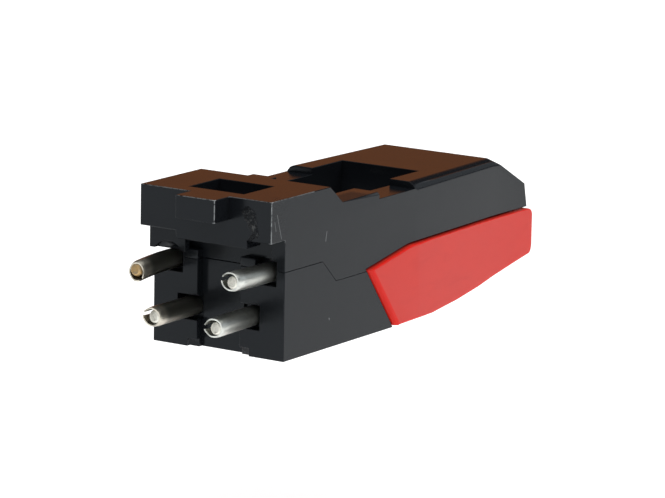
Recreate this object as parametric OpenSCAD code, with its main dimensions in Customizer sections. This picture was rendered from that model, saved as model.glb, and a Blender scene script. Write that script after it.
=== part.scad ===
// Stereo ceramic cartridge with its plug-on stylus assembly.
// Inside the modules X runs forward from the rear of the housing's ledge, Y to the left and Z up
// from the housing's flat underside. in_place() then moves everything to the part's own frame,
// whose origin is on the record under the middle of the part.

/* [Housing] */
// Overall width of the housing
housing_w = 9.8; // [9:0.1:10.6]
// Height of the front deck above the underside
deck_h = 9.03; // [8.8:0.05:9.6]
// Step up from the front deck to the rear platform
platform_rise = 1.14; // [0.6:0.02:1.6]
// Length of the rear platform
platform_l = 6.4; // [5.8:0.1:7]
// Length of the slope between platform and deck
ramp_l = 1.4; // [0.8:0.1:1.6]
// How far the ledge overhangs the rear face
ledge_overhang = 1.5; // [1:0.1:2]
// Thickness of the overhanging ledge
ledge_t = 2.59; // [2.2:0.01:2.9]
// Length of the deck in front of the pocket
front_deck_l = 6.7; // [5.5:0.05:7.5]
// Length of the sloping nose
nose_run = 4.1; // [3.5:0.05:5]
// Fall of the sloping nose
nose_drop = 2.23; // [1.5:0.01:2.6]
// Forward lean of the front face, top to bottom
nose_lean = 0.35; // [0.1:0.05:0.6]
// How much narrower each side is at the nose
nose_taper = 0.42; // [0.2:0.02:0.5]
// Wall thickness of the housing
wall = 0.9; // [0.7:0.05:1]
// Chamfer on the deck's side edges at the nose, fading out towards the platform
edge_chamfer = 0.5; // [0.2:0.05:0.8]

/* [Top features] */
// Length of the open pocket in the deck
pocket_l = 11.6; // [10.5:0.1:12.5]
// Width of the pocket
pocket_w = 5.9; // [5:0.1:6.3]
// Gap between the foot of the platform and the pocket
pocket_setback = 0.2; // [0.1:0.05:0.5]
// Thickness of the pocket's floor
pocket_floor_t = 0.8; // [0.6:0.05:1]
// Length of the notch through each side wall of the pocket
notch_l = 4.1; // [3:0.1:5]
// Depth of the side notches
notch_d = 0.43; // [0.2:0.01:0.8]
// Distance from the pocket's rear end to the notches
notch_offset = 4.0; // [3:0.1:5]
// Length of the clip hole in the platform
clip_l = 3.3; // [2.6:0.1:3.6]
// Width of the clip hole
clip_w = 4.1; // [3:0.1:4.6]
// Distance of the clip hole from the ledge's rear face
clip_x = 1.1; // [0.9:0.1:1.5]
// Length of the tongue behind the ledge
tongue_l = 1.6; // [1:0.1:2]
// Width of the tongue
tongue_w = 2.9; // [2.4:0.1:3.8]
// How far the tongue sits to the left of the middle
tongue_y = -0.35; // [-0.6:0.05:0.6]
// Thickness of the tongue
tongue_t = 1.45; // [1:0.05:1.8]

/* [Parting and rear face] */
// Height of the joint between the housing halves at the rear
parting_rear_h = 5.6; // [5.5:0.05:5.8]
// Height of the joint further forward
parting_h = 4.15; // [4.05:0.05:4.25]
// Where the joint starts to step down, from the ledge's rear face
parting_step_x = 5.7; // [5.4:0.1:6]
// Length of the step in the joint
parting_step_l = 1.5; // [1.2:0.1:1.8]
// Width of the upright channel in the rear face
channel_w = 3.2; // [2.4:0.1:3.4]
// Depth of the channel
channel_d = 0.6; // [0.5:0.05:1.1]
// Size of the square wells round the terminals
well_size = 1.55; // [1.5:0.05:1.8]
// Depth of the wells
well_d = 0.8; // [0.4:0.05:1.1]
// Height of the slot that opens the upper left well to the side
vent_h = 0.65; // [0.4:0.05:0.75]
// Depth of that slot from the rear face
vent_l = 1.9; // [1:0.1:2.2]
// How far the wall between the ledge and that slot stands proud of the rear face
pad_proud = 0.5; // [0.2:0.05:0.7]
// Diameter kept clear round a terminal for the clip of its lead
clip_space_d = 2.4; // [1.8:0.1:2.6]
// How far that clearance goes into the proud wall
clip_space_l = 0.35; // [0.2:0.05:0.5]
// Thickness of the rear wall that grips the terminals
rear_wall_t = 2.7; // [2.4:0.05:2.9]
// Width of the bar under the ledge
chin_w = 5.3; // [4:0.1:5.8]
// How far the bar sits to the left of the middle
chin_y = -0.45; // [-0.6:0.05:0.6]
// Height of the bar under the ledge
chin_h = 0.5; // [0.4:0.05:0.9]

/* [Terminals] */
// Outside diameter of the rolled terminal tubes
pin_d = 1.27; // [1.2:0.01:1.3]
// Thickness of the terminal's sheet
pin_sheet = 0.2; // [0.15:0.01:0.25]
// Width of the slit along each tube
pin_slit = 0.14; // [0.1:0.01:0.2]
// Diameter of the inner turn of sheet that fills one side of each tube
core_d = 0.56; // [0.45:0.01:0.6]
// Thickness of the flat neck that the housing grips
neck_t = 0.6; // [0.4:0.05:0.8]
// Free length of the tubes behind the rear face
pin_free_l = 3.8; // [3.2:0.1:4.5]
// Distance of the upper pair from the middle
upper_pin_y = 3.5; // [3.3:0.05:3.6]
// Height of the upper pair
upper_pin_z = 5.4; // [5.3:0.05:5.45]
// Distance of the lower pair from the middle
lower_pin_y = 2.3; // [2.1:0.05:2.4]
// Height of the lower pair
lower_pin_z = 2.5; // [2.4:0.05:2.7]

/* [Generator] */
// Length of each ceramic element
element_l = 14.4; // [13.5:0.1:15]
// Height of each element across its tilt
element_w = 1.6; // [1.4:0.05:1.7]
// Thickness of each element
element_t = 0.6; // [0.5:0.05:0.7]
// Tilt of the elements to the record, one to each groove wall
element_tilt = 45; // [40:1:50]
// Distance of each element from the middle
element_y = 1.7; // [1.6:0.05:1.8]
// Height of the elements' middle
element_z = 3.05; // [3:0.01:3.1]
// Length of the rear clamp block
clamp_l = 2.0; // [1.5:0.1:2.4]
// Length of the front damping pads
damper_l = 1.4; // [1:0.1:2]
// Width of the front damping pads
damper_w = 2.3; // [2.1:0.05:2.4]
// Length of the coupler
coupler_l = 1.8; // [1.5:0.1:2.2]
// Slack of soft pieces in their seats
snug = 0.03; // [0.02:0.01:0.05]

/* [Stylus] */
// Depth of the rebate in the housing that the carrier's cheeks lie in
rebate = 0.65; // [0.5:0.05:0.7]
// How far the cheeks stand proud of the housing
cheek_proud = 0.25; // [0.1:0.05:0.4]
// Running clearance between the carrier and the housing
carrier_gap = 0.1; // [0.08:0.01:0.14]
// Height of the cheeks' top edge
cheek_h = 5.08; // [5.0:0.01:5.2]
// Distance from the pocket's rear end to the top of the cheeks' slanted rear edge
cheek_setback = 2.7; // [2.5:0.05:2.9]
// Height of the top of the slanted edge
cheek_rear_h = 4.2; // [4.2:0.02:4.4]
// How far the slanted edge runs forward on its way down
cheek_slant = 3.2; // [3:0.05:3.3]
// Length of the rising edge from there to the crest
cheek_rise_l = 4.9; // [4.5:0.1:6]
// Radius of the crest between the rising edge and the top edge
crest_r = 6; // [3:0.5:8]
// How far the cheeks reach beyond the foot of the nose
cheek_reach = 0.7; // [0.5:0.05:0.9]
// Height of the housing's lower edge round the nose
skirt_h = 2.8; // [2.7:0.05:3]
// Thickness of the carrier's floor
floor_t = 0.8; // [0.6:0.05:0.9]
// Width of the slot in the floor that the cantilever moves in
slot_w = 3.0; // [2.6:0.1:3.4]
// Diameter of the rubber bush
bush_d = 1.5; // [1.4:0.05:1.6]
// Width of the bush
bush_w = 3.0; // [2.4:0.1:3.4]
// Outside diameter of the cantilever tube
cantilever_d = 0.7; // [0.5:0.05:0.8]
// Wall of the cantilever tube
cantilever_wall = 0.12; // [0.08:0.01:0.15]
// Distance from the bush to the stylus tip along the tube
cantilever_l = 12.5; // [12:0.1:12.8]
// Length of the gem below the tube
tip_l = 0.7; // [0.5:0.05:0.9]
// Diameter of the gem's shank
tip_d = 0.36; // [0.25:0.01:0.4]
// Free play around the moving stylus parts
play = 0.05; // [0.04:0.01:0.08]

/* [Hidden] */
$fn = 48;
eps = 0.01;
big = 40;
half_w = housing_w / 2;
platform_h = deck_h + platform_rise;
ledge_z = platform_h - ledge_t;
rear_x = ledge_overhang;

// Stations along the housing
deck_x = platform_l + ramp_l;
pocket_x = deck_x + pocket_setback;
pocket_end = pocket_x + pocket_l;
nose_x = pocket_end + front_deck_l;
front_x = nose_x + nose_run;
nose_h = deck_h - nose_drop;
taper_x = pocket_end - 0.27 * pocket_l;

// The bay under the pocket's floor that holds the generator
bay_top = parting_h - 0.05;
pocket_floor = bay_top + pocket_floor_t;
chamber_x = rear_x + rear_wall_t;
pad_y = chin_y + chin_w / 2;
chamber_front = pocket_x;
chamber_half = half_w - wall;
bay_inset = rebate + wall - 0.05;
lower_front = pocket_x + cheek_setback + cheek_slant + 0.4;

// The cheek's outline: the slanted rear edge, the raised corner and the long top edge
cheek_rear_x = pocket_x + cheek_setback;
cheek_foot_x = cheek_rear_x + cheek_slant;
cheek_foot_h = 0.1;
cheek_crest_x = cheek_rear_x + cheek_rise_l;
crest_turn = atan((cheek_h - cheek_rear_h) / cheek_rise_l);
cheek_front_x = front_x + cheek_reach;
cheek_sole_h = 2.3;
skirt_end = front_x - 0.9 * wall;

// The generator's pieces
element_x = chamber_x + 2.4;
element_end = element_x + element_l;
clamp_x = pocket_x + 1.5 * pocket_setback;
damper_x = clamp_x + clamp_l + 0.42 * element_l;
damper_z = element_z - 0.62 * element_w;
coupler_x = element_end - 1.2;
leaf_w = 0.9;

// The moving stylus
bush_x = lower_front + 1.6;
bush_z = 1.0;
bridge_x = lower_front + 0.2;
bridge_end = bush_x + bush_d / 2 + 0.65;
bridge_top = 1.85;
droop = 5.26;
tip_x = bush_x + cantilever_l * cos(droop);
tip_top = bush_z - cantilever_l * sin(droop);
tip_z = tip_top - cantilever_d / 2 * cos(droop) - tip_l;

pin_end = rear_x - pin_free_l;
middle_x = (pin_end + cheek_front_x) / 2;

// Half the housing's width at a distance x from the rear
function half_at(x) = lookup(x, [[taper_x, half_w], [nose_x, half_w - nose_taper]]);

// The stations where the plan changes between x0 and x1
function stations(x0, x1) =
  concat([x0], [for (x = [taper_x, nose_x]) if (x > x0 && x < x1) x], [x1]);

// Points of an arc in the side view
function arc(cx, cz, r, a0, a1, steps = 6) =
  [for (i = [0 : steps]) let (a = a0 + (a1 - a0) * i / steps) [cx + r * cos(a), cz + r * sin(a)]];

module in_place() {
  translate([-middle_x, 0, -tip_z]) children();
}

// A block with the housing's plan, drawn in by inset on each side
module plan_block(inset, x0, x1, z0, z1) {
  xs = stations(x0, x1);
  n = len(xs) - 1;
  translate([0, 0, z0])
    linear_extrude(z1 - z0)
      polygon(concat(
        [for (x = xs) [x, half_at(x) - inset]],
        [for (i = [0 : n]) [xs[n - i], inset - half_at(xs[n - i])]]));
}

// A side outline carried across the width
module across(points, w) {
  rotate([90, 0, 0])
    translate([0, 0, -w / 2])
      linear_extrude(w)
        polygon(points);
}

// A box between two x, the same distance either side of the middle, between two heights
module band(x0, x1, half, z0, z1) {
  translate([x0, -half, z0]) cube([x1 - x0, 2 * half, z1 - z0]);
}

module both_sides() {
  children();
  mirror([0, 1, 0]) children();
}

// The joint between the housing halves, seen from the side, from the rear face forward
parting_line = [
  [rear_x, parting_rear_h],
  [parting_step_x, parting_rear_h],
  [parting_step_x + parting_step_l, parting_h],
  [lower_front, parting_h]];

// The cheek's rear and top edge, moved outwards by gap
function cheek_edge(gap) = concat(
  [[cheek_foot_x - gap, cheek_foot_h]],
  [[cheek_rear_x - gap, cheek_rear_h + gap]],
  arc(cheek_crest_x + crest_r * tan(crest_turn / 2), cheek_h - crest_r,
    crest_r + gap, 90 + crest_turn, 90));

// The recess for the carrier's cheek on each side
module rebates() {
  difference() {
    across(concat(
      [[cheek_foot_x + 0.6 - carrier_gap, -1]],
      cheek_edge(carrier_gap),
      [[big, cheek_h + carrier_gap], [big, -1]]), big);
    plan_block(rebate, 0, big, -2, big);
  }
}

// What the rear face has cut into it: a well round each terminal, the channel and the side slots
module rear_cuts() {
  well_half = well_size / 2;
  both_sides() {
    translate([rear_x - eps, upper_pin_y - well_half, upper_pin_z - well_half])
      cube([well_d + eps, well_size, well_size]);
    translate([rear_x - eps, lower_pin_y - well_half, lower_pin_z - well_half])
      cube([well_d + eps, well_size, well_size]);
  }
  band(rear_x - eps, rear_x + channel_d, channel_w / 2, -1, ledge_z - chin_h);
  translate([rear_x - pad_proud - eps, upper_pin_y, upper_pin_z])
    cube([vent_l + pad_proud, big, vent_h]);
}

module upper_housing() {
  side = concat(
    [[0, ledge_z], [0, platform_h], [platform_l, platform_h], [deck_x, deck_h]],
    [[nose_x, deck_h], [front_x, nose_h], [front_x + nose_lean, cheek_h + carrier_gap]],
    [[skirt_end, cheek_h + carrier_gap], [skirt_end, skirt_h], [lower_front, skirt_h]],
    [for (i = [3 : -1 : 0]) parting_line[i]],
    [[rear_x, ledge_z]]);
  color([0.16, 0.165, 0.17])
    difference() {
      union() {
        intersection() {
          across(side, big);
          plan_block(0, -1, big, 0, big);
        }
        translate([0, tongue_y, 0])
          band(-tongue_l, eps, tongue_w / 2, platform_h - tongue_t, platform_h);
        translate([0, chin_y, 0])
          band(0, rear_x + eps, chin_w / 2, ledge_z - chin_h, ledge_z + eps);
        // proud part of the left wall under the ledge, hollowed for the clip on the terminal
        difference() {
          translate([rear_x - pad_proud, pad_y, upper_pin_z + vent_h])
            cube([pad_proud + eps, half_w - pad_y, ledge_z - upper_pin_z - vent_h + eps]);
          translate([rear_x - pad_proud - eps, upper_pin_y, upper_pin_z])
            rotate([0, 90, 0]) cylinder(d = clip_space_d, h = clip_space_l + eps);
        }
      }
      rebates();
      rear_cuts();
      // recess behind the bar under the ledge
      band(rear_x - eps, rear_x + channel_d, half_w - wall - 0.1,
        upper_pin_z + well_size / 2 - eps, ledge_z - 0.3);
      // clip hole in the platform
      band(clip_x, clip_x + clip_l, clip_w / 2, ledge_z - 0.4, big);
      // pocket in the deck, with the two side notches
      band(pocket_x, pocket_end, pocket_w / 2, pocket_floor, big);
      band(pocket_x + notch_offset, pocket_x + notch_offset + notch_l, big, deck_h - notch_d, big);
      // chamber round the terminals' tails
      band(chamber_x, chamber_front, chamber_half, parting_h - 1, upper_pin_z + leaf_w);
      // bay for the generator, and the hollow nose in front of it
      plan_block(bay_inset, chamber_front - 1, skirt_end - wall, 0, bay_top);
      intersection() {
        plan_block(bay_inset, pocket_end + wall, skirt_end - wall, 0, deck_h - wall);
        across([[0, 0], [0, deck_h - wall], [nose_x - wall, deck_h - wall],
          [skirt_end - wall, nose_h + 0.2], [skirt_end - wall, 0]], big);
      }
      terminal_holes();
      edge_chamfers();
    }
}

// Wedges that take off the deck's side edges, from nothing at the platform to full at the nose
module edge_chamfers() {
  slope = atan((edge_chamfer + nose_taper) * cos(45) / (front_x - deck_x));
  both_sides()
    translate([deck_x, half_w, deck_h])
      rotate([-45, 0, 0])
        rotate([0, slope, 0])
          translate([0, -big / 2, 0]) cube([big, big, big]);
}

module lower_housing() {
  side = concat(
    [[rear_x, 0]],
    parting_line,
    [[lower_front, 0]]);
  color([0.14, 0.14, 0.145])
    difference() {
      intersection() {
        across(side, big);
        plan_block(0, 0, big, -1, big);
      }
      rebates();
      rear_cuts();
      // chamber and bay, open at the top
      band(chamber_x, chamber_front + eps, chamber_half, wall, big);
      plan_block(bay_inset, chamber_front, big, wall, big);
      // shallow relief at the foot of the rear channel
      band(rear_x - eps, rear_x + 0.3, upper_pin_y - 1.2, -eps, 0.5);
      terminal_holes();
    }
}

// A terminal's flat neck, from the rear face to the chamber
module neck(y, z, l) {
  translate([rear_x - eps, y - leaf_w / 2, z - neck_t / 2]) cube([l, leaf_w, neck_t]);
}

// The four holes that grip the terminals' necks
module terminal_holes() {
  both_sides() {
    neck(upper_pin_y, upper_pin_z, rear_wall_t + 2 * eps);
    neck(lower_pin_y, lower_pin_z, rear_wall_t + 2 * eps);
  }
}

// One terminal: a tube rolled from sheet with its inner turn to one side, a neck through the wall
// and a leaf to the element
module terminal(y, z, side, contact) {
  bore_d = pin_d - 2 * pin_sheet;
  core_shift = (bore_d - core_d) / 2 + pin_sheet / 4;
  color([0.78, 0.78, 0.76]) {
    translate([pin_end, y, z])
      rotate([0, 90, 0])
        linear_extrude(pin_free_l - pin_sheet)
          difference() {
            circle(d = pin_d);
            difference() {
              circle(d = bore_d);
              translate([0, -core_shift]) circle(d = core_d);
            }
            rotate(-45)
              translate([-pin_d, -pin_slit / 2])
                square([pin_d - bore_d / 2 + pin_sheet / 4, pin_slit]);
          }
    translate([rear_x - pin_sheet - eps, y, z])
      rotate([0, 90, 0]) cylinder(d = pin_d, h = pin_sheet + eps);
    neck(y, z, rear_wall_t);
    leaf(y, z, side, contact);
  }
}

// The flat tail, bent over to lie on a face of the element
module leaf(y, z, side, contact) {
  translate([chamber_x - 0.2, y - leaf_w / 2, z - pin_sheet / 2])
    cube([0.5, leaf_w, pin_sheet]);
  hull() {
    translate([chamber_x + 0.2, y - leaf_w / 2, z - pin_sheet / 2])
      cube([0.1, leaf_w, pin_sheet]);
    contact_plate(side, contact, element_x - 0.2, 0.1);
  }
  contact_plate(side, contact, element_x - 0.2, 1.4);
}

// A strip of sheet against the outer (+1) or inner (-1) face of an element
module contact_plate(side, contact, x, l) {
  translate([x, side * element_y, element_z])
    rotate([side * -element_tilt, 0, 0])
      translate([0, -leaf_w / 2, contact * (element_t + pin_sheet) / 2 - pin_sheet / 2])
        cube([l, leaf_w, pin_sheet]);
}

module left_signal_terminal() terminal(upper_pin_y, upper_pin_z, 1, 1);
module left_ground_terminal() terminal(lower_pin_y, lower_pin_z, 1, -1);
module right_signal_terminal() terminal(-upper_pin_y, upper_pin_z, -1, 1);
module right_ground_terminal() terminal(-lower_pin_y, lower_pin_z, -1, -1);

// A bar along X with an element's section and tilt, made larger all round by grow
module element_bar(side, x0, x1, grow = 0) {
  w = element_w + 2 * grow;
  t = element_t + 2 * grow;
  translate([x0, side * element_y, element_z])
    rotate([side * -element_tilt, 0, 0])
      translate([0, -w / 2, -t / 2])
        cube([x1 - x0, w, t]);
}

module element(side) {
  color([0.72, 0.66, 0.52]) element_bar(side, element_x, element_end);
}

module left_element() element(1);
module right_element() element(-1);

module rear_clamp() {
  half = half_at(clamp_x) - bay_inset - snug;
  color([0.24, 0.22, 0.2])
    difference() {
      band(clamp_x, clamp_x + clamp_l, half, wall, bay_top);
      for (side = [-1, 1])
        element_bar(side, clamp_x - eps, clamp_x + clamp_l + eps, snug);
    }
}

// A soft pad under the pocket's floor, round one element
module damper(side) {
  color([0.3, 0.28, 0.25])
    difference() {
      translate([damper_x, side * element_y - damper_w / 2, damper_z])
        cube([damper_l, damper_w, bay_top - damper_z]);
      element_bar(side, damper_x - eps, damper_x + damper_l + eps, snug);
    }
}

module left_damper() damper(1);
module right_damper() damper(-1);

// Where the middle of the cantilever is above the underside, at a distance x
function cantilever_z(x) = bush_z - (x - bush_x) * tan(droop);

module coupler() {
  z0 = cantilever_z(coupler_x + coupler_l / 2);
  saddle = cantilever_d / 2 + 6 * play;
  leg = saddle + 0.45;
  shoulder = element_y + 1.1;
  top = bay_top - 0.15;
  color([0.2, 0.18, 0.17])
    difference() {
      translate([coupler_x, 0, 0])
        rotate([90, 0, 90])
          linear_extrude(coupler_l)
            difference() {
              polygon([[-shoulder, element_z], [-shoulder + 0.7, top], [shoulder - 0.7, top],
                [shoulder, element_z], [shoulder - 0.9, element_z - 1.05],
                [leg, element_z - 1.4], [leg, z0 - 0.2], [-leg, z0 - 0.2],
                [-leg, element_z - 1.4], [-shoulder + 0.9, element_z - 1.05]]);
              translate([0, z0]) circle(r = saddle);
              translate([-saddle, z0 - big]) square([2 * saddle, big]);
            }
      for (side = [-1, 1])
        element_bar(side, coupler_x - eps, element_end + snug, snug);
    }
}

// The carrier's side outline, from the rear edge round to the underside
carrier_side = concat(
  cheek_edge(0),
  arc(cheek_front_x - 0.5, cheek_h - 0.5, 0.5, 90, 10),
  [[cheek_front_x, cheek_sole_h + 0.3]],
  arc(cheek_front_x - 0.45, cheek_sole_h + 0.1, 0.4, -20, -70, 3),
  [[front_x - 1.5, 1.7], [nose_x - 2.05, 0.85], [pocket_end + 1.8, 0.47], [pocket_end - 1.3, 0.21]]);

// The same underside raised by the floor's thickness
floor_top = [
  [0, cheek_foot_h + floor_t + 0.15],
  [pocket_end - 1.3, 0.21 + floor_t], [pocket_end + 1.8, 0.47 + floor_t],
  [nose_x - 2.05, 0.85 + floor_t], [front_x - 1.5, 1.7 + floor_t],
  [skirt_end + carrier_gap, 1.9 + floor_t], [skirt_end + carrier_gap, big], [0, big]];

module stylus_carrier() {
  inner = rebate - carrier_gap;
  color([0.82, 0.2, 0.16])
    difference() {
      union() {
        difference() {
          intersection() {
            across(carrier_side, big);
            plan_block(-cheek_proud, 0, big, -1, big);
          }
          // the tray's inside
          intersection() {
            across(floor_top, big);
            plan_block(inner, 0, skirt_end + carrier_gap, -1, big);
          }
          // room for the lower housing behind the floor
          plan_block(inner, 0, bridge_x, -1, big);
        }
        // bridge that holds the bush
        intersection() {
          plan_block(inner - eps, bridge_x, bridge_end, 0.15, bridge_top);
          across(concat(carrier_side, [[cheek_foot_x, 0.15]]), big);
        }
      }
      // seat of the bush, open at the top so that it snaps in
      translate([bush_x, 0, bush_z])
        rotate([90, 0, 0])
          cylinder(d = bush_d + 2 * play, h = bush_w + 2 * play, center = true);
      translate([bush_x - bush_d * 0.4, -bush_w / 2 - play, bush_z])
        cube([bush_d * 0.8, bush_w + 2 * play, 2]);
      // window and slot for the cantilever
      band(bush_x, bridge_end + 1, cantilever_d / 2 + 0.55, -1, bush_z + cantilever_d / 2 + 0.3);
      band(bridge_end + 0.6, skirt_end - 0.6, slot_w / 2, -1, skirt_h + 0.4);
    }
}

module cantilever_bush() {
  color([0.1, 0.1, 0.1])
    translate([bush_x, 0, bush_z])
      difference() {
        rotate([90, 0, 0]) cylinder(d = bush_d, h = bush_w, center = true);
        rotate([0, 90 + droop, 0])
          cylinder(d = cantilever_d + 2 * play, h = 2 * bush_d, center = true);
      }
}

module cantilever() {
  stub = bush_d * 0.35;
  color([0.8, 0.8, 0.82])
    translate([bush_x, 0, bush_z])
      rotate([0, 90 + droop, 0])
        difference() {
          translate([0, 0, -stub]) cylinder(d = cantilever_d, h = stub + cantilever_l + 0.5);
          translate([0, 0, -bush_d])
            cylinder(d = cantilever_d - 2 * cantilever_wall, h = cantilever_l - 0.6 + bush_d);
        }
}

module stylus_tip() {
  drop = cantilever_d / 2 * cos(droop);
  color([0.85, 0.85, 0.9])
    translate([tip_x, 0, tip_top])
      difference() {
        translate([0, 0, -drop - tip_l])
          rotate_extrude()
            polygon([[0, 0], [0.03, 0], [tip_d / 2, tip_l * 0.55],
              [tip_d / 2, tip_l + drop * 0.2], [0, tip_l + drop * 0.2]]);
        rotate([0, 90 + droop, 0]) cylinder(d = cantilever_d, h = 4, center = true);
      }
}

in_place() upper_housing();
in_place() lower_housing();
in_place() left_signal_terminal();
in_place() left_ground_terminal();
in_place() right_signal_terminal();
in_place() right_ground_terminal();
in_place() left_element();
in_place() right_element();
in_place() rear_clamp();
in_place() left_damper();
in_place() right_damper();
in_place() coupler();
in_place() stylus_carrier();
in_place() cantilever_bush();
in_place() cantilever();
in_place() stylus_tip();
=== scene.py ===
"""Looks of a stereo ceramic phonograph cartridge with its red plug-on stylus carrier.

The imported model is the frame: every piece here starts from it or from sizes that agree with it.
X runs forward from the terminals to the stylus, Y to the left and Z up from the record.
"""

import math

import bmesh
import bpy
from mathutils import Matrix, Vector, noise


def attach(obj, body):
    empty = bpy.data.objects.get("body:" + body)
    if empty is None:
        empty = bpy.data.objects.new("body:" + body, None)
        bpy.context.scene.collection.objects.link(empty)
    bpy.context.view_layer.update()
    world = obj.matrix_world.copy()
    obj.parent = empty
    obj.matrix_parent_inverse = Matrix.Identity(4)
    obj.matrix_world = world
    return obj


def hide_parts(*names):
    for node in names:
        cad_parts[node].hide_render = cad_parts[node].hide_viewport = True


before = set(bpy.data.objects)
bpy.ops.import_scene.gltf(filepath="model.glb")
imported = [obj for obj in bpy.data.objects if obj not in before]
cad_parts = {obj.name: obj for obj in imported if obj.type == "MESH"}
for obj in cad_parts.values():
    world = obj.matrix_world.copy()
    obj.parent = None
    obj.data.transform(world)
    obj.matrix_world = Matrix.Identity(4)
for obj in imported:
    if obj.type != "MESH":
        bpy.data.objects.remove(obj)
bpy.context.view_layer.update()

bl_info = {
    "name": "Phonograph cartridge",
    "version": (1, 0, 0),
    "blender": (4, 5, 0),
    "location": "View3D > Sidebar > Cartridge",
    "description": "Dresses the packed cartridge with its mouldings, terminals, stylus and stage",
    "category": "Object",
}

MM = 0.001

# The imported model's frame lies this far from the housing's own datum: ledge face, middle, underside
DATUM = Vector((-14.4, 0.0, 1.1944))

# Sizes of the housing in millimetres from its datum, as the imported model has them
HALF_WIDTH = 4.9
REAR_FACE = 1.5
LEDGE_UNDERSIDE = 7.58
PLATFORM_TOP = 10.17
TONGUE_END = -1.6
TONGUE_LEFT = 1.1
TONGUE_RIGHT = -1.8
TONGUE_UNDERSIDE = 8.75
DECK_FRONT = 16.0
CHEEK_REAR = 15.6
TIP_X = 28.35
TERMINAL_RADIUS = 0.635
TERMINAL_END = -2.3

# Angles between faces in degrees, from which an edge is softened, broadly rounded or shaded sharp
SOFTENED_ANGLE = 22.0
BROAD_ANGLE = 28.0
SHARP_ANGLE = 32.0
BROAD_SEGMENTS = 6

# Sockets that share a name with others on their node: those of a colour mix, and an attribute's number
MIX_FACTOR, MIX_FIRST, MIX_SECOND, MIX_RESULT = 0, 6, 7, 2
ATTRIBUTE_NUMBER = 2

WHITE = (1.0, 1.0, 1.0, 1.0)

# Each terminal's Y and Z, the turns of its seam and of its inner turn in degrees, and its bend
TERMINALS = {
    "left_signal_terminal": (3.5, 5.4, 150, -60, -0.22),
    "left_ground_terminal": (2.3, 2.5, -60, 85, 0.0),
    "right_signal_terminal": (-3.5, 5.4, -62, 130, 0.08),
    "right_ground_terminal": (-2.3, 2.5, -75, 112, -0.05),
}


def at(x, y, z):
    """A point given in millimetres from the housing's datum, in the frame's metres."""
    return (Vector((x, y, z)) + DATUM) * MM


class Wire:
    """A value in a material's node tree, for use in Python expressions."""

    def __init__(self, tree, socket):
        self.tree = tree
        self.socket = socket

    def maths(self, operation, *terms, clamp=False):
        node = self.tree.nodes.new("ShaderNodeMath")
        node.operation = operation
        node.use_clamp = clamp
        for slot, term in zip(node.inputs, terms):
            plug(self.tree, slot, term)
        return Wire(self.tree, node.outputs[0])

    def __add__(self, other):
        return self.maths("ADD", self, other)

    __radd__ = __add__

    def __sub__(self, other):
        return self.maths("SUBTRACT", self, other)

    def __rsub__(self, other):
        return self.maths("SUBTRACT", other, self)

    def __mul__(self, other):
        return self.maths("MULTIPLY", self, other)

    __rmul__ = __mul__

    def __pow__(self, other):
        return self.maths("POWER", self, other)

    def at_most(self, other):
        return self.maths("MINIMUM", self, other)

    def at_least(self, other):
        return self.maths("MAXIMUM", self, other)

    def clamped(self):
        return self.maths("ADD", self, 0.0, clamp=True)


def plug(tree, slot, term):
    """Links a wire to a socket, or sets the socket to a number or colour."""
    if isinstance(term, Wire):
        tree.links.new(term.socket, slot)
    else:
        slot.default_value = term


class Finish:
    """A material under construction."""

    def __init__(self, name):
        self.material = bpy.data.materials.new(name)
        self.material.use_nodes = True
        self.tree = self.material.node_tree
        self.tree.nodes.clear()

    def node(self, kind, settings=None, sockets=None, output=0):
        """Adds a node, sets it up, feeds its sockets and returns one of its outputs as a wire."""
        node = self.tree.nodes.new(kind)
        for key, value in (settings or {}).items():
            setattr(node, key, value)
        for key, value in (sockets or {}).items():
            plug(self.tree, node.inputs[key], value)
        return Wire(self.tree, node.outputs[output]) if len(node.outputs) else None

    def place(self):
        """Object coordinates in millimetres."""
        metres = self.node("ShaderNodeTexCoord", output="Object")
        return self.node("ShaderNodeVectorMath", {"operation": "SCALE"}, {0: metres, "Scale": 1.0 / MM})

    def attribute(self, name):
        """A number kept on the mesh's faces."""
        return self.node("ShaderNodeAttribute", {"attribute_name": name}, output=ATTRIBUTE_NUMBER)

    def axes(self, vector):
        """The three parts of a vector."""
        node = self.tree.nodes.new("ShaderNodeSeparateXYZ")
        plug(self.tree, node.inputs[0], vector)
        return [Wire(self.tree, out) for out in node.outputs]

    def noise(self, vector, scale, detail=2.0, roughness=0.5, distortion=0.0):
        return self.node("ShaderNodeTexNoise", {}, {
            "Vector": vector, "Scale": scale, "Detail": detail,
            "Roughness": roughness, "Distortion": distortion})

    def stretched(self, vector, x, y, z):
        """The same place with each axis scaled, for streaks."""
        return self.node("ShaderNodeVectorMath", {"operation": "MULTIPLY"}, {0: vector, 1: (x, y, z)})

    def ramp(self, value, low, high):
        """0 below low, 1 above high, smooth between."""
        return self.node("ShaderNodeMapRange", {"interpolation_type": "SMOOTHSTEP"}, {
            "Value": value, "From Min": low, "From Max": high, "To Min": 0.0, "To Max": 1.0})

    def mix(self, factor, first, second):
        """A colour between two colours."""
        return self.node(
            "ShaderNodeMix", {"data_type": "RGBA"},
            {MIX_FACTOR: factor, MIX_FIRST: first, MIX_SECOND: second}, output=MIX_RESULT)

    def bump(self, height):
        """A normal from a height in millimetres."""
        return self.node("ShaderNodeBump", {}, {"Height": height, "Distance": MM})

    def done(self, **sockets):
        """Closes the material with its shader."""
        shader = self.node("ShaderNodeBsdfPrincipled", {}, {
            key.replace("_", " "): value for key, value in sockets.items()})
        self.node("ShaderNodeOutputMaterial", {}, {"Surface": shader})
        return self.material


def lighter(shade, times):
    """A colour some times as bright."""
    return (*(part * times for part in shade[:3]), 1.0)


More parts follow.
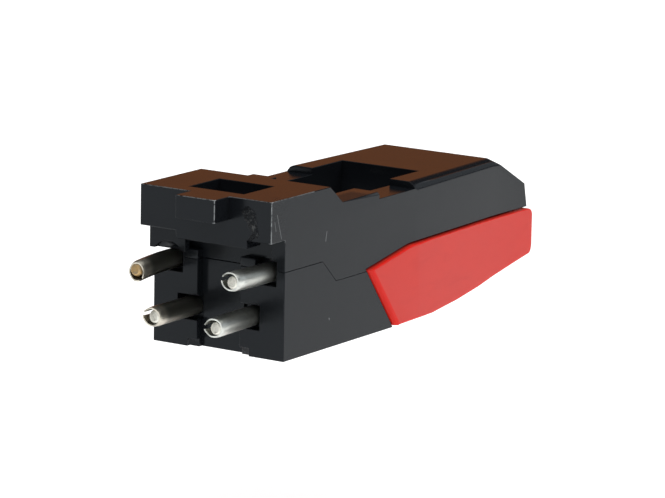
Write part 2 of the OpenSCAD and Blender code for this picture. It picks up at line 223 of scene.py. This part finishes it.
def near_line(finish, axes, start, end, reach, wander=0.0):
    """1 on a line between two points given from the datum, falling to 0 at the reach, in millimetres.

    wander is a wire that is added to the distance, for a ragged outline.
    """
    whole_until = 0.3 * reach
    a = at(*start) / MM
    b = at(*end) / MM
    along = b - a
    length = along.length
    along.normalize()
    off = [axis - a[i] for i, axis in enumerate(axes)]
    run = off[0] * along.x + off[1] * along.y + off[2] * along.z
    run = run.at_least(0.0).at_most(length)
    gap = [off[i] - run * along[i] for i in range(3)]
    squared = gap[0] * gap[0] + gap[1] * gap[1] + gap[2] * gap[2]
    return 1.0 - finish.ramp(squared ** 0.5 + wander, whole_until, reach)


def strongest_line(finish, axes, lines, wander=0.0):
    """The strongest of several lines at each place. lines holds each one's start, end and reach."""
    first, *others = [near_line(finish, axes, start, end, reach, wander) for start, end, reach in lines]
    for other in others:
        first = first.at_least(other)
    return first


def housing_finish(shade):
    """Black moulded plastic: glossy, with rubbed edges, a gate scar, flash and a few scratches."""
    f = Finish("housing_black")
    place = f.place()
    axes = f.axes(place)
    cloud = f.noise(place, 0.35, 3.0)
    grain = f.noise(place, 9.0, 4.0, 0.6)
    ripple = f.noise(place, 2.6, 4.0, 0.6, 0.8)
    streaks = f.noise(f.stretched(place, 0.5, 3.0, 7.0), 2.4, 3.0, 0.6, 0.3)
    torn = f.noise(place, 3.0, 5.0, 0.65, 1.6)
    ragged = (ripple - 0.5) * 0.7
    side = -HALF_WIDTH
    # the ledge's and the tongue's top and upright edges and the near side's top edge, with how much
    # each is rubbed
    rubbed_edges = [
        ((0.0, HALF_WIDTH, PLATFORM_TOP), (0.0, TONGUE_LEFT, PLATFORM_TOP), 0.5),
        ((TONGUE_END, TONGUE_LEFT, PLATFORM_TOP), (TONGUE_END, TONGUE_RIGHT, PLATFORM_TOP), 0.5),
        ((TONGUE_END, TONGUE_RIGHT, TONGUE_UNDERSIDE), (TONGUE_END, TONGUE_RIGHT, PLATFORM_TOP), 1.0),
        ((0.0, TONGUE_RIGHT, PLATFORM_TOP), (0.0, side, PLATFORM_TOP), 0.35),
        ((0.0, side, LEDGE_UNDERSIDE), (0.0, side, PLATFORM_TOP), 1.0),
        ((0.0, side, PLATFORM_TOP), (4.5, side, PLATFORM_TOP), 0.45),
        ((0.0, side, LEDGE_UNDERSIDE), (REAR_FACE, side, LEDGE_UNDERSIDE), 0.3)]
    rubbed_reach = 0.22
    rubbed = 0.0
    for start, end, amount in rubbed_edges:
        rubbed = near_line(f, axes, start, end, rubbed_reach) * amount + rubbed
    rubbed = rubbed * f.attribute("edge_wear_and_shade") * f.ramp(ripple, 0.32, 0.56)
    scratches = strongest_line(f, axes, [
        ((6.07, side, 7.42), (5.96, side, 6.85), 0.05),
        ((0.6, side, 9.3), (1.1, side, 7.75), 0.035),
        ((0.35, side, 8.9), (0.5, side, 8.3), 0.03),
        ((6.48, side, 1.88), (6.52, side, 1.80), 0.07)])
    marks = rubbed.clamped().at_least(scratches * 0.5)
    haze = near_line(f, axes, (0.9, side, 8.2), (1.0, side, 9.9), 1.3) * f.ramp(streaks, 0.45, 0.7)
    # the gate scar on the rear of the ledge, and the flash along the bar under it
    scar = strongest_line(f, axes, [
        ((0.0, -3.2, 9.35), (0.0, -3.5, 8.8), 0.42),
        ((0.0, -3.55, 8.7), (0.0, -3.75, 8.1), 0.28),
        ((0.0, -3.6, 7.95), (0.0, -3.35, 7.62), 0.2)], ragged)
    flash = near_line(f, axes, (REAR_FACE, 2.2, 7.5), (REAR_FACE, -3.1, 7.3), 0.3, ragged)
    torn_grey = (0.6, 0.62, 0.6, 1.0)
    rubbed_grey = (0.40, 0.42, 0.43, 1.0)
    rubbings = scar * f.ramp(torn, 0.5, 0.62) * 0.1 + flash * f.ramp(torn, 0.52, 0.66) * 0.05
    colour = f.mix(cloud, shade, lighter(shade, 1.35))
    colour = f.mix(rubbings.clamped(), colour, torn_grey)
    colour = f.mix(marks * 0.5, colour, rubbed_grey)
    rough = 0.17 + cloud * 0.07 + haze * 0.12 + marks * 0.2 + scar * 0.08
    height = grain * 0.0005 + f.noise(place, 0.8, 2.0) * 0.004 - marks * 0.004
    height = height + scar * torn * 0.3 + flash * torn * 0.16
    return f.done(
        Base_Color=colour, Roughness=rough, Specular_IOR_Level=0.175,
        Specular_Tint=(0.86, 0.94, 1.0, 1.0), Normal=f.bump(height))


def carrier_finish():
    """Red moulded plastic that takes a little light inside."""
    f = Finish("carrier_red")
    place = f.place()
    cloud = f.noise(place, 0.3, 3.0)
    grain = f.noise(place, 8.0, 3.0, 0.6)
    flow = f.noise(f.stretched(place, 0.35, 1.0, 1.3), 0.9, 2.0, 0.5, 0.6)
    red = (0.505, 0.024, 0.017, 1.0)
    bright_red = (0.565, 0.033, 0.022, 1.0)
    deep_red = (0.46, 0.019, 0.014, 1.0)
    # the deeper red painted on the rounded edges as shade
    edge_shade_red = (0.60, 0.010, 0.004, 1.0)
    colour = f.mix(cloud, red, bright_red)
    colour = f.mix(f.ramp(flow, 0.5, 0.8) * 0.4, colour, deep_red)
    # painted shade: the rounded edges are given a deeper, clearer red, standing in for the reflection
    # that the flats show and the edges lack
    colour = f.mix(f.attribute("edge_wear_and_shade"), colour, edge_shade_red)
    rough = 0.26 + cloud * 0.08 + grain * 0.05
    height = grain * 0.001 + flow * 0.004
    return f.done(
        Base_Color=colour, Roughness=rough, Specular_IOR_Level=0.175,
        Subsurface_Weight=0.25, Subsurface_Radius=(0.0012, 0.0002, 0.0001), Subsurface_Scale=0.6,
        Normal=f.bump(height))


def terminal_finish():
    """Tinned sheet metal with drawing marks, a little tarnish and solder in the mouth."""
    f = Finish("terminal_tin")
    place = f.place()
    x, y, z = f.axes(place)
    drawn = f.noise(f.stretched(place, 0.12, 7.0, 7.0), 1.6, 2.0, 0.5)
    cloud = f.noise(place, 0.9, 3.0, 0.55)
    mottle = f.noise(f.stretched(place, 1.0, 2.0, 2.0), 1.7, 4.0, 0.65, 0.5)
    tarnish = f.ramp(cloud, 0.5, 0.8)
    tin, dull_tin, grey_tin = (0.66, 0.68, 0.64, 1.0), (0.40, 0.41, 0.37, 1.0), (0.34, 0.37, 0.36, 1.0)
    # a warm painted reflection for the left terminals, and painted shade for behind the mouths
    warm_reflection_tin, shank_shade_tin = (0.62, 0.50, 0.33, 1.0), (0.17, 0.17, 0.145, 1.0)
    colour = f.mix(tarnish, tin, dull_tin)
    colour = f.mix(f.ramp(mottle, 0.45, 0.75) * 0.5, colour, grey_tin)
    # painted reflection and shade: the left terminals are warmer, and all of them are darker behind the
    # mouth, the left ones most
    mouth_x = TERMINAL_END + DATUM.x
    left = f.ramp(y, -1.5, 1.0)
    shank = f.ramp(x, mouth_x + 0.5, mouth_x + 1.1)
    colour = f.mix(left * 0.35, colour, warm_reflection_tin)
    colour = f.mix(shank * (0.35 + left * 0.5), colour, shank_shade_tin)
    # the solder drawn into the mouth is dull and pale, and brassy in the upper left terminal
    pale_solder, brassy_solder = (0.82, 0.81, 0.73, 1.0), (0.50, 0.33, 0.14, 1.0)
    dirty_solder = (0.34, 0.33, 0.28, 1.0)
    upper = f.ramp(z, 4.5, 5.5)
    solder = f.attribute("inner_turn")
    solder_shade = f.mix(left * upper, pale_solder, brassy_solder)
    solder_shade = f.mix(f.ramp(mottle, 0.42, 0.66) * 0.55, solder_shade, dirty_solder)
    colour = f.mix(solder, colour, solder_shade)
    rough = 0.26 + drawn * 0.12 + tarnish * 0.1 + mottle * 0.12
    return f.done(
        Base_Color=colour, Metallic=1.0 - solder * 0.5, Roughness=rough, Normal=f.bump(drawn * 0.002))


def tube_finish():
    """Drawn aluminium tube."""
    f = Finish("cantilever_tube")
    place = f.place()
    drawn = f.noise(f.stretched(place, 0.3, 8.0, 8.0), 3.0, 2.0)
    return f.done(
        Base_Color=(0.78, 0.78, 0.79, 1.0), Metallic=1.0, Roughness=0.22 + drawn * 0.15,
        Normal=f.bump(drawn * 0.003))


def ceramic_finish():
    """Sintered ceramic under fired silver."""
    f = Finish("fired_ceramic")
    place = f.place()
    grain = f.noise(place, 14.0, 4.0, 0.7)
    cloud = f.noise(place, 0.9, 2.0)
    colour = f.mix(cloud, (0.50, 0.46, 0.36, 1.0), (0.62, 0.58, 0.48, 1.0))
    colour = f.mix(f.ramp(grain, 0.55, 0.7) * 0.4, colour, (0.30, 0.27, 0.21, 1.0))
    return f.done(
        Base_Color=colour, Roughness=0.45 + grain * 0.2, Metallic=0.25, Normal=f.bump(grain * 0.01))


def rubber_finish(name, shade):
    """Dull moulded rubber."""
    f = Finish(name)
    place = f.place()
    grain = f.noise(place, 10.0, 4.0, 0.65)
    cloud = f.noise(place, 0.8, 2.0)
    colour = f.mix(cloud, shade, lighter(shade, 1.6))
    return f.done(Base_Color=colour, Roughness=0.6 + grain * 0.2, Normal=f.bump(grain * 0.01))


def gem_finish():
    """Polished synthetic gem."""
    f = Finish("stylus_gem")
    place = f.place()
    cloud = f.noise(place, 3.0, 2.0)
    colour = f.mix(cloud, (0.80, 0.83, 0.88, 1.0), (0.92, 0.94, 0.97, 1.0))
    return f.done(Base_Color=colour, Roughness=0.06 + cloud * 0.04, Transmission_Weight=0.5, IOR=1.76)


def copied_solid(node):
    """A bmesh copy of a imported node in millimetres, welded, with its flat faces made whole again."""
    weld = 0.0008
    flat = math.radians(0.6)
    bm = bmesh.new()
    bm.from_mesh(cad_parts[node].data)
    bmesh.ops.scale(bm, vec=(1 / MM, 1 / MM, 1 / MM), verts=bm.verts)
    bmesh.ops.remove_doubles(bm, verts=bm.verts, dist=weld)
    bmesh.ops.dissolve_limit(
        bm, angle_limit=flat, use_dissolve_boundaries=False,
        verts=bm.verts, edges=bm.edges, delimit=set())
    return bm


def soften(bm, width, segments, angle, where=None):
    """Rounds the outer edges sharper than the angle in degrees, and marks the rounding, which the
    finishes use for wear and for painted shade.

    where is the test that an edge has to meet. Without it, all are rounded but those too short for it.
    """
    too_short = 1.3 * width
    # the mark of the rounding: real wear on the housing, painted shade on the red carrier
    edge_wear_and_shade = bm.faces.layers.float.get("edge_wear_and_shade") or bm.faces.layers.float.new("edge_wear_and_shade")
    sharp = [
        e for e in bm.edges
        if e.is_manifold and e.is_convex and e.calc_face_angle() > math.radians(angle)
        and (where(e) if where else e.calc_length() > too_short)]
    rounded = bmesh.ops.bevel(
        bm, geom=sharp, offset=width, offset_type="OFFSET", affect="EDGES", segments=segments,
        profile=0.5, material=-1, clamp_overlap=False, loop_slide=True)
    for face in rounded["faces"]:
        face[edge_wear_and_shade] = 1.0


def finished(bm, name, material, body, node):
    """Turns a bmesh in millimetres into a piece on its body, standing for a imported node."""
    bmesh.ops.scale(bm, vec=(MM, MM, MM), verts=bm.verts)
    mesh = bpy.data.meshes.new(name)
    bm.to_mesh(mesh)
    bm.free()
    piece = bpy.data.objects.new(name, mesh)
    bpy.context.scene.collection.objects.link(piece)
    mesh.materials.append(material)
    mesh.shade_smooth()
    mesh.set_sharp_from_angle(angle=math.radians(SHARP_ANGLE))
    even = piece.modifiers.new("even_shading", "WEIGHTED_NORMAL")
    even.mode = "FACE_AREA"
    even.weight = 100
    even.keep_sharp = True
    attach(piece, body)
    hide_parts(node)
    return piece


def softened_node(node, material, width, body, segments=2, broad=()):
    """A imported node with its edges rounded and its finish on.

    broad lists the roundings of the edges that are rounded more than the rest, each with its test.
    """
    bm = copied_solid(node)
    for radius, where in broad:
        soften(bm, radius, BROAD_SEGMENTS, BROAD_ANGLE, where)
    soften(bm, width, segments, SOFTENED_ANGLE)
    piece = finished(bm, f"{node}_moulded", material, body, node)
    return piece


def rolled_sheet(bm, mouth, length, bore, seam):
    """Adds a tube rolled from sheet, its outer face at the terminal's radius and its seam open."""
    wrap = math.radians(332)
    lips = [bm.verts.new(mouth + seam * r) for r in (bore, TERMINAL_RADIUS)]
    lip = bm.edges.new(lips)
    bmesh.ops.spin(
        bm, geom=[*lips, lip], cent=mouth, axis=(1, 0, 0), angle=wrap, steps=44, use_merge=False)
    drawn = bmesh.ops.extrude_face_region(bm, geom=bm.faces[:], use_keep_orig=True)
    bmesh.ops.translate(
        bm, vec=(length, 0, 0), verts=[v for v in drawn["geom"] if isinstance(v, bmesh.types.BMVert)])
    bmesh.ops.recalc_face_normals(bm, faces=bm.faces)


def filled_mouth(bm, mouth, length, bore, aside):
    """Adds the solder-filled inner turn, to one side of the bore and sunk a little in its wall."""
    radius = 0.43
    overlap = 0.02
    rounding = 0.22
    rim_depth = 0.2
    set_back = 0.1
    inner_turn = bm.faces.layers.float["inner_turn"]
    middle = mouth + aside * (bore - radius + overlap) + Vector((length / 2, 0, 0))
    core = bmesh.ops.create_cone(
        bm, cap_ends=True, segments=36, radius1=radius, radius2=radius, depth=length - set_back,
        matrix=Matrix.Translation(middle) @ Matrix.Rotation(math.radians(90), 4, "Y"))
    for face in {f for v in core["verts"] for f in v.link_faces}:
        face[inner_turn] = 1.0
    rim = [
        e for e in {e for v in core["verts"] for e in v.link_edges}
        if all(v.co.x < mouth.x + rim_depth for v in e.verts)]
    bmesh.ops.bevel(
        bm, geom=rim, offset=rounding, offset_type="OFFSET", affect="EDGES", segments=6, profile=0.5,
        material=-1, clamp_overlap=True)


def opened_mouth(bm, mouth, bore, opening, nod):
    """Crumples the mouth: the lips stand off the round and the wall opposite is pressed in."""
    crumple_run = 0.45
    bend_run = 3.6
    lip_lift = 0.07
    pinch = 0.05
    uneven_pinch = 0.03
    pinches_per_mm = 1.9
    even_facing = 0.45
    step_back = 0.08
    uneven_step = 0.05
    steps_per_mm = 2.3
    sheet_from = bore - 0.01
    for v in bm.verts:
        run = v.co.x - mouth.x
        out = Vector((0.0, v.co.y - mouth.y, v.co.z - mouth.z))
        near_mouth = max(0.0, 1.0 - run / crumple_run) ** 2
        if out.length > sheet_from:
            facing = out.normalized().dot(opening)
            v.co += opening * lip_lift * near_mouth * max(0.0, facing) ** 3
            pressed = pinch + uneven_pinch * noise.noise(v.co * pinches_per_mm)
            v.co -= out.normalized() * near_mouth * pressed
            uneven = uneven_step * noise.noise(v.co * steps_per_mm)
            v.co.x += near_mouth * (step_back * (even_facing - facing) + uneven)
        bend = max(0.0, 1.0 - run / bend_run)
        v.co.z += nod * bend * bend


def add_tail(bm, node, joint):
    """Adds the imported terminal's own solid from a given X on, with its cut end closed."""
    tail = copied_solid(node)
    cut = bmesh.ops.bisect_plane(
        tail, geom=[*tail.verts, *tail.edges, *tail.faces], plane_co=(joint, 0, 0), plane_no=(1, 0, 0),
        clear_inner=True)
    bmesh.ops.holes_fill(
        tail, edges=[e for e in cut["geom_cut"] if isinstance(e, bmesh.types.BMEdge)], sides=0)
    keep = bpy.data.meshes.new("tail")
    tail.to_mesh(keep)
    tail.free()
    bm.from_mesh(keep)
    bpy.data.meshes.remove(keep)


def rolled_terminal(node, y, z, seam, core_turn, nod):
    """A terminal tube rolled from sheet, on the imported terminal's own neck and leaf.

    seam is where the sheet's edge shows in the mouth and core_turn where its inner turn lies, both in
    degrees round from the top towards the right, and nod is how far the mouth is bent up or down.
    """
    sheet = 0.09
    tucked_in = 0.75
    tail_set_back = 0.4
    half_gap = 14
    # the rings are closest at the mouth, which is crumpled most
    rings = (0.05, 0.11, 0.18, 0.28, 0.4, 0.9, 1.6, 2.4, 3.2)
    bore = TERMINAL_RADIUS - sheet
    length = REAR_FACE - TERMINAL_END + tucked_in
    mouth = at(TERMINAL_END, y, z) / MM

    def towards(turn):
        turn = math.radians(turn)
        return Vector((0.0, -math.sin(turn), math.cos(turn)))

    bm = bmesh.new()
    bm.faces.layers.float.new("inner_turn")
    rolled_sheet(bm, mouth, length, bore, towards(seam))
    filled_mouth(bm, mouth, length, bore, towards(core_turn))
    for place in rings:
        bmesh.ops.bisect_plane(
            bm, geom=[*bm.verts, *bm.edges, *bm.faces], plane_co=mouth + Vector((place, 0, 0)),
            plane_no=(1, 0, 0))
    opened_mouth(bm, mouth, bore, towards(seam - half_gap), nod)
    add_tail(bm, node, (at(REAR_FACE, y, z) / MM).x + tail_set_back)
    return bm


class CartridgeStage(bpy.types.PropertyGroup):
    """What stands round the cartridge."""

    floor_shade: bpy.props.FloatVectorProperty(
        name="Floor", description="Colour of the pale floor", subtype="COLOR", size=3,
        default=(0.86, 0.86, 0.86), min=0.0, max=1.0)
    floor_glow: bpy.props.FloatProperty(
        name="Floor glow", description="Light that the floor gives off, as a light table does",
        default=0.45, min=0.0)
    floor_drop: bpy.props.FloatProperty(
        name="Floor drop", default=0.0122, min=0.0, unit="LENGTH",
        description="Room between the stylus tip and the floor, for the carrier's travel")
    key_strength: bpy.props.FloatProperty(
        name="Overhead light", description="Strength of the broad light overhead",
        default=1.85, min=0.0)
    haze_strength: bpy.props.FloatProperty(
        name="Shadow fill", description="Strength of the light from all round that thins the shadow",
        default=1.05, min=0.0)
    pool_power: bpy.props.FloatProperty(
        name="Side light", description="Power of the light that brightens the floor on the near side",
        default=0.10, min=0.0, unit="POWER")
    screen_power: bpy.props.FloatProperty(
        name="Low screen", default=0.42, min=0.0, unit="POWER",
        description="Power of the low screen that softens the upper edge of the near side")
    board_power: bpy.props.FloatProperty(
        name="Brown board", description="Power of the dim board that the top faces mirror",
        default=0.135, min=0.0, unit="POWER")


class CartridgeLooks(bpy.types.PropertyGroup):
    """Sizes and colours of the finishes."""

    edge_round: bpy.props.FloatProperty(
        name="Edge rounding", description="Radius on the housing's moulded edges in millimetres",
        default=0.045, min=0.01, max=0.12)
    deck_round: bpy.props.FloatProperty(
        name="Deck rounding", description="Radius along the sides of the front deck in millimetres",
        default=0.24, min=0.01, max=0.24)
    carrier_rear_round: bpy.props.FloatProperty(
        name="Carrier rear rounding", default=0.4, min=0.01, max=0.5,
        description="Radius on the slanted rear edges of the red carrier in millimetres")
    carrier_round: bpy.props.FloatProperty(
        name="Carrier rounding", default=0.13, min=0.01, max=0.3,
        description="Radius on the outer edges of the red carrier in millimetres")
    housing_shade: bpy.props.FloatVectorProperty(
        name="Housing", description="Colour of the black mouldings", subtype="COLOR", size=4,
        default=(0.0050, 0.0058, 0.0072, 1.0), min=0.0, max=1.0)


class CARTRIDGE_OT_stage(bpy.types.Operator):
    """Add the floor, the soft lights and the camera"""

    bl_idname = "cartridge.stage"
    bl_label = "Stage"

    def execute(self, context):
        settings = context.scene.cartridge_stage
        add_floor(settings)
        add_lights(settings)
        add_camera()
        return {"FINISHED"}


def add_floor(settings):
    """A pale floor under the cartridge, low enough for the released carrier to stay above it.

    It runs along the plane through the stylus tip and the housing's rear edge, which the cartridge
    would lie on, a carrier's travel lower.
    """
    half_width = 3.0
    bm = bmesh.new()
    bmesh.ops.create_grid(bm, x_segments=1, y_segments=1, size=half_width)
    tip = at(TIP_X, 0.0, -DATUM.z)
    heel = at(REAR_FACE, 0.0, 0.0)
    lean = math.atan2(heel.z - tip.z, tip.x - heel.x)
    tip.z -= settings.floor_drop
    bmesh.ops.translate(bm, vec=tip, verts=bm.verts)
    bmesh.ops.rotate(bm, verts=bm.verts, cent=tip, matrix=Matrix.Rotation(lean, 3, "Y"))
    mesh = bpy.data.meshes.new("floor")
    bm.to_mesh(mesh)
    bm.free()
    floor = bpy.data.objects.new("floor", mesh)
    bpy.context.scene.collection.objects.link(floor)
    f = Finish("floor_paper")
    place = f.place()
    cloud = f.noise(place, 0.02, 2.0)
    shade = (*settings.floor_shade, 1.0)
    colour = f.mix(cloud * 0.15, shade, (0.80, 0.80, 0.80, 1.0))
    mesh.materials.append(f.done(
        Base_Color=colour, Roughness=0.8, Specular_IOR_Level=0.2,
        Emission_Color=WHITE, Emission_Strength=settings.floor_glow))


def add_sun(name, strength, spread, turn=(0.0, 0.0, 0.0)):
    """Light from far off, spread over an angle and turned from straight above, all in degrees."""
    lamp = bpy.data.lights.new(name, "SUN")
    lamp.energy = strength
    lamp.angle = math.radians(spread)
    light = bpy.data.objects.new(name, lamp)
    light.rotation_euler = [math.radians(part) for part in turn]
    bpy.context.scene.collection.objects.link(light)
    return light


def add_soft_light(name, place, target, size, power, shade=WHITE[:3]):
    """A rectangular area light aimed at a point."""
    lamp = bpy.data.lights.new(name, "AREA")
    lamp.shape = "RECTANGLE"
    lamp.size, lamp.size_y = size
    lamp.energy = power
    lamp.color = shade
    light = bpy.data.objects.new(name, lamp)
    bpy.context.scene.collection.objects.link(light)
    light.location = place
    light.rotation_euler = (Vector(target) - Vector(place)).to_track_quat("-Z", "Y").to_euler()
    light.visible_camera = False
    return light


def add_lights(settings):
    """A broad soft light overhead, fill, and two dim boards that only the glossy faces mirror."""
    middle = at(14.0, 0.0, 5.0)
    near_floor = (0.03, -0.02, 0.0)
    add_sun("overhead", settings.key_strength, 105, turn=(14, -12, 0))
    haze = add_sun("haze", settings.haze_strength, 175)
    pool = add_soft_light("pool", (0.075, -0.085, 0.15), near_floor, (0.12, 0.12), settings.pool_power)
    for fill in (haze, pool):
        fill.visible_glossy = False
    board = add_soft_light(
        "brown_board", (0.52, 0.34, 0.15), middle, (0.62, 0.22), settings.board_power,
        shade=(1.0, 0.29, 0.035))
    screen = add_soft_light(
        "low_screen", (0.50, -0.30, 0.17), middle, (0.80, 0.28), settings.screen_power,
        shade=(0.88, 0.94, 1.0))
    for mirrored in (board, screen):
        mirrored.visible_diffuse = False
    world = bpy.data.worlds.new("studio")
    world.use_nodes = True
    background = world.node_tree.nodes["Background"]
    background.inputs["Color"].default_value = (0.75, 0.77, 0.80, 1.0)
    background.inputs["Strength"].default_value = 0.035
    bpy.context.scene.world = world


def add_camera():
    """The photograph's viewpoint, fitted to the housing's corners, in degrees and millimetres."""
    azimuth, elevation, roll = map(math.radians, (-146.61, 11.68, 1.08))
    target = Vector((10.0, 0.0, 5.0))
    distance, aside, above = 265.2, 2.29, 0.06
    focal_pixels = 4203.8
    image_width = 665
    level_run = math.cos(elevation)
    back = Vector((math.cos(azimuth) * level_run, math.sin(azimuth) * level_run, math.sin(elevation)))
    level = Vector((0, 0, 1)).cross(back).normalized()
    upright = back.cross(level)
    right = level * math.cos(roll) + upright * math.sin(roll)
    up = upright * math.cos(roll) - level * math.sin(roll)
    eye = target + back * distance + right * aside + up * above
    lens = bpy.data.cameras.new("camera")
    lens.sensor_width = 36.0
    lens.lens = focal_pixels * lens.sensor_width / image_width
    lens.clip_start = 0.01
    lens.clip_end = 20.0
    camera = bpy.data.objects.new("camera", lens)
    bpy.context.scene.collection.objects.link(camera)
    turn = Matrix((right, up, back)).transposed().to_4x4()
    camera.matrix_world = Matrix.Translation(at(*eye)) @ turn
    bpy.context.scene.camera = camera
    bpy.context.scene.view_settings.view_transform = "Standard"


def deck_side_edge(edge):
    """Whether an edge runs along the side of the front deck, where the real one is well rounded."""
    beside = 4.0
    level = 8.6
    shortest = 0.3
    ends = [v.co - DATUM for v in edge.verts]
    along = abs(ends[0].x - ends[1].x) > shortest
    return along and all(p.x > DECK_FRONT and abs(p.y) > beside and p.z > level for p in ends)


class CARTRIDGE_OT_housing(bpy.types.Operator):
    """Add the two black mouldings"""

    bl_idname = "cartridge.housing"
    bl_label = "Housing"

    def execute(self, context):
        looks = context.scene.cartridge_looks
        finish = housing_finish(tuple(looks.housing_shade))
        deck_sides = [(looks.deck_round, deck_side_edge)]
        for node, broad in (("upper_housing", deck_sides), ("lower_housing", [])):
            softened_node(node, finish, looks.edge_round, "cartridge", 3, broad)
        return {"FINISHED"}


class CARTRIDGE_OT_terminals(bpy.types.Operator):
    """Add the four rolled terminals"""

    bl_idname = "cartridge.terminals"
    bl_label = "Terminals"

    def execute(self, context):
        finish = terminal_finish()
        for name, (y, z, seam, core_turn, nod) in TERMINALS.items():
            bm = rolled_terminal(name, y, z, seam, core_turn, nod)
            piece = finished(bm, f"{name}_rolled", finish, "cartridge", name)
        return {"FINISHED"}


class CARTRIDGE_OT_generator(bpy.types.Operator):
    """Add the ceramic elements and the rubber that holds them"""

    bl_idname = "cartridge.generator"
    bl_label = "Generator"

    def execute(self, context):
        ceramic = ceramic_finish()
        pads = rubber_finish("damping_rubber", (0.05, 0.045, 0.04, 1.0))
        black = rubber_finish("black_rubber", (0.015, 0.015, 0.015, 1.0))
        for node in ("left_element", "right_element"):
            softened_node(node, ceramic, 0.04, "cartridge")
        for node in ("rear_clamp", "left_damper", "right_damper"):
            softened_node(node, pads, 0.06, "cartridge")
        softened_node("coupler", black, 0.05, "cartridge")
        return {"FINISHED"}


def cheek_edge(edge):
    """Whether an edge goes round the outer face of one of the carrier's cheeks."""
    proud = 0.2
    return all(abs(v.co.y) > HALF_WIDTH + proud for v in edge.verts)


def cheek_rear_edge(edge):
    """Whether an edge is the slanted rear one of the outer face of one of the carrier's cheeks."""
    shortest_rise = 2.0
    one, other = (v.co for v in edge.verts)
    at_rear = all(v.co.x - DATUM.x < CHEEK_REAR for v in edge.verts)
    return cheek_edge(edge) and at_rear and abs(one.z - other.z) > shortest_rise


class CARTRIDGE_OT_stylus(bpy.types.Operator):
    """Add the red carrier with its bush, cantilever and gem"""

    bl_idname = "cartridge.stylus"
    bl_label = "Stylus"

    def execute(self, context):
        black = rubber_finish("bush_rubber", (0.012, 0.012, 0.012, 1.0))
        looks = context.scene.cartridge_looks
        softened_node(
            "stylus_carrier", carrier_finish(), 0.05, "stylus_carrier",
            broad=[(looks.carrier_rear_round, cheek_rear_edge), (looks.carrier_round, cheek_edge)])
        softened_node("cantilever_bush", black, 0.03, "cantilever_bush")
        softened_node("cantilever", tube_finish(), 0.02, "cantilever")
        softened_node("stylus_tip", gem_finish(), 0.008, "cantilever")
        return {"FINISHED"}


class CARTRIDGE_PT_panel(bpy.types.Panel):
    """Lists the cartridge's pieces"""

    bl_idname = "CARTRIDGE_PT_panel"
    bl_label = "Cartridge"
    bl_space_type = "VIEW_3D"
    bl_region_type = "UI"
    bl_category = "Cartridge"

    def draw(self, context):
        for operator in OPERATORS:
            self.layout.operator(operator.bl_idname)
        for group in (context.scene.cartridge_looks, context.scene.cartridge_stage):
            for key in group.__annotations__:
                self.layout.prop(group, key)


OPERATORS = (
    CARTRIDGE_OT_housing,
    CARTRIDGE_OT_terminals,
    CARTRIDGE_OT_generator,
    CARTRIDGE_OT_stylus,
    CARTRIDGE_OT_stage,
)
CLASSES = (CartridgeStage, CartridgeLooks, *OPERATORS, CARTRIDGE_PT_panel)


def register():
    for cls in CLASSES:
        bpy.utils.register_class(cls)
    bpy.types.Scene.cartridge_stage = bpy.props.PointerProperty(type=CartridgeStage)
    bpy.types.Scene.cartridge_looks = bpy.props.PointerProperty(type=CartridgeLooks)


def unregister():
    del bpy.types.Scene.cartridge_looks
    del bpy.types.Scene.cartridge_stage
    for cls in reversed(CLASSES):
        bpy.utils.unregister_class(cls)


def main():
    register()
    bpy.ops.cartridge.housing()
    bpy.ops.cartridge.terminals()
    bpy.ops.cartridge.generator()
    bpy.ops.cartridge.stylus()
    bpy.ops.cartridge.stage()


if __name__ == "__main__":
    main()
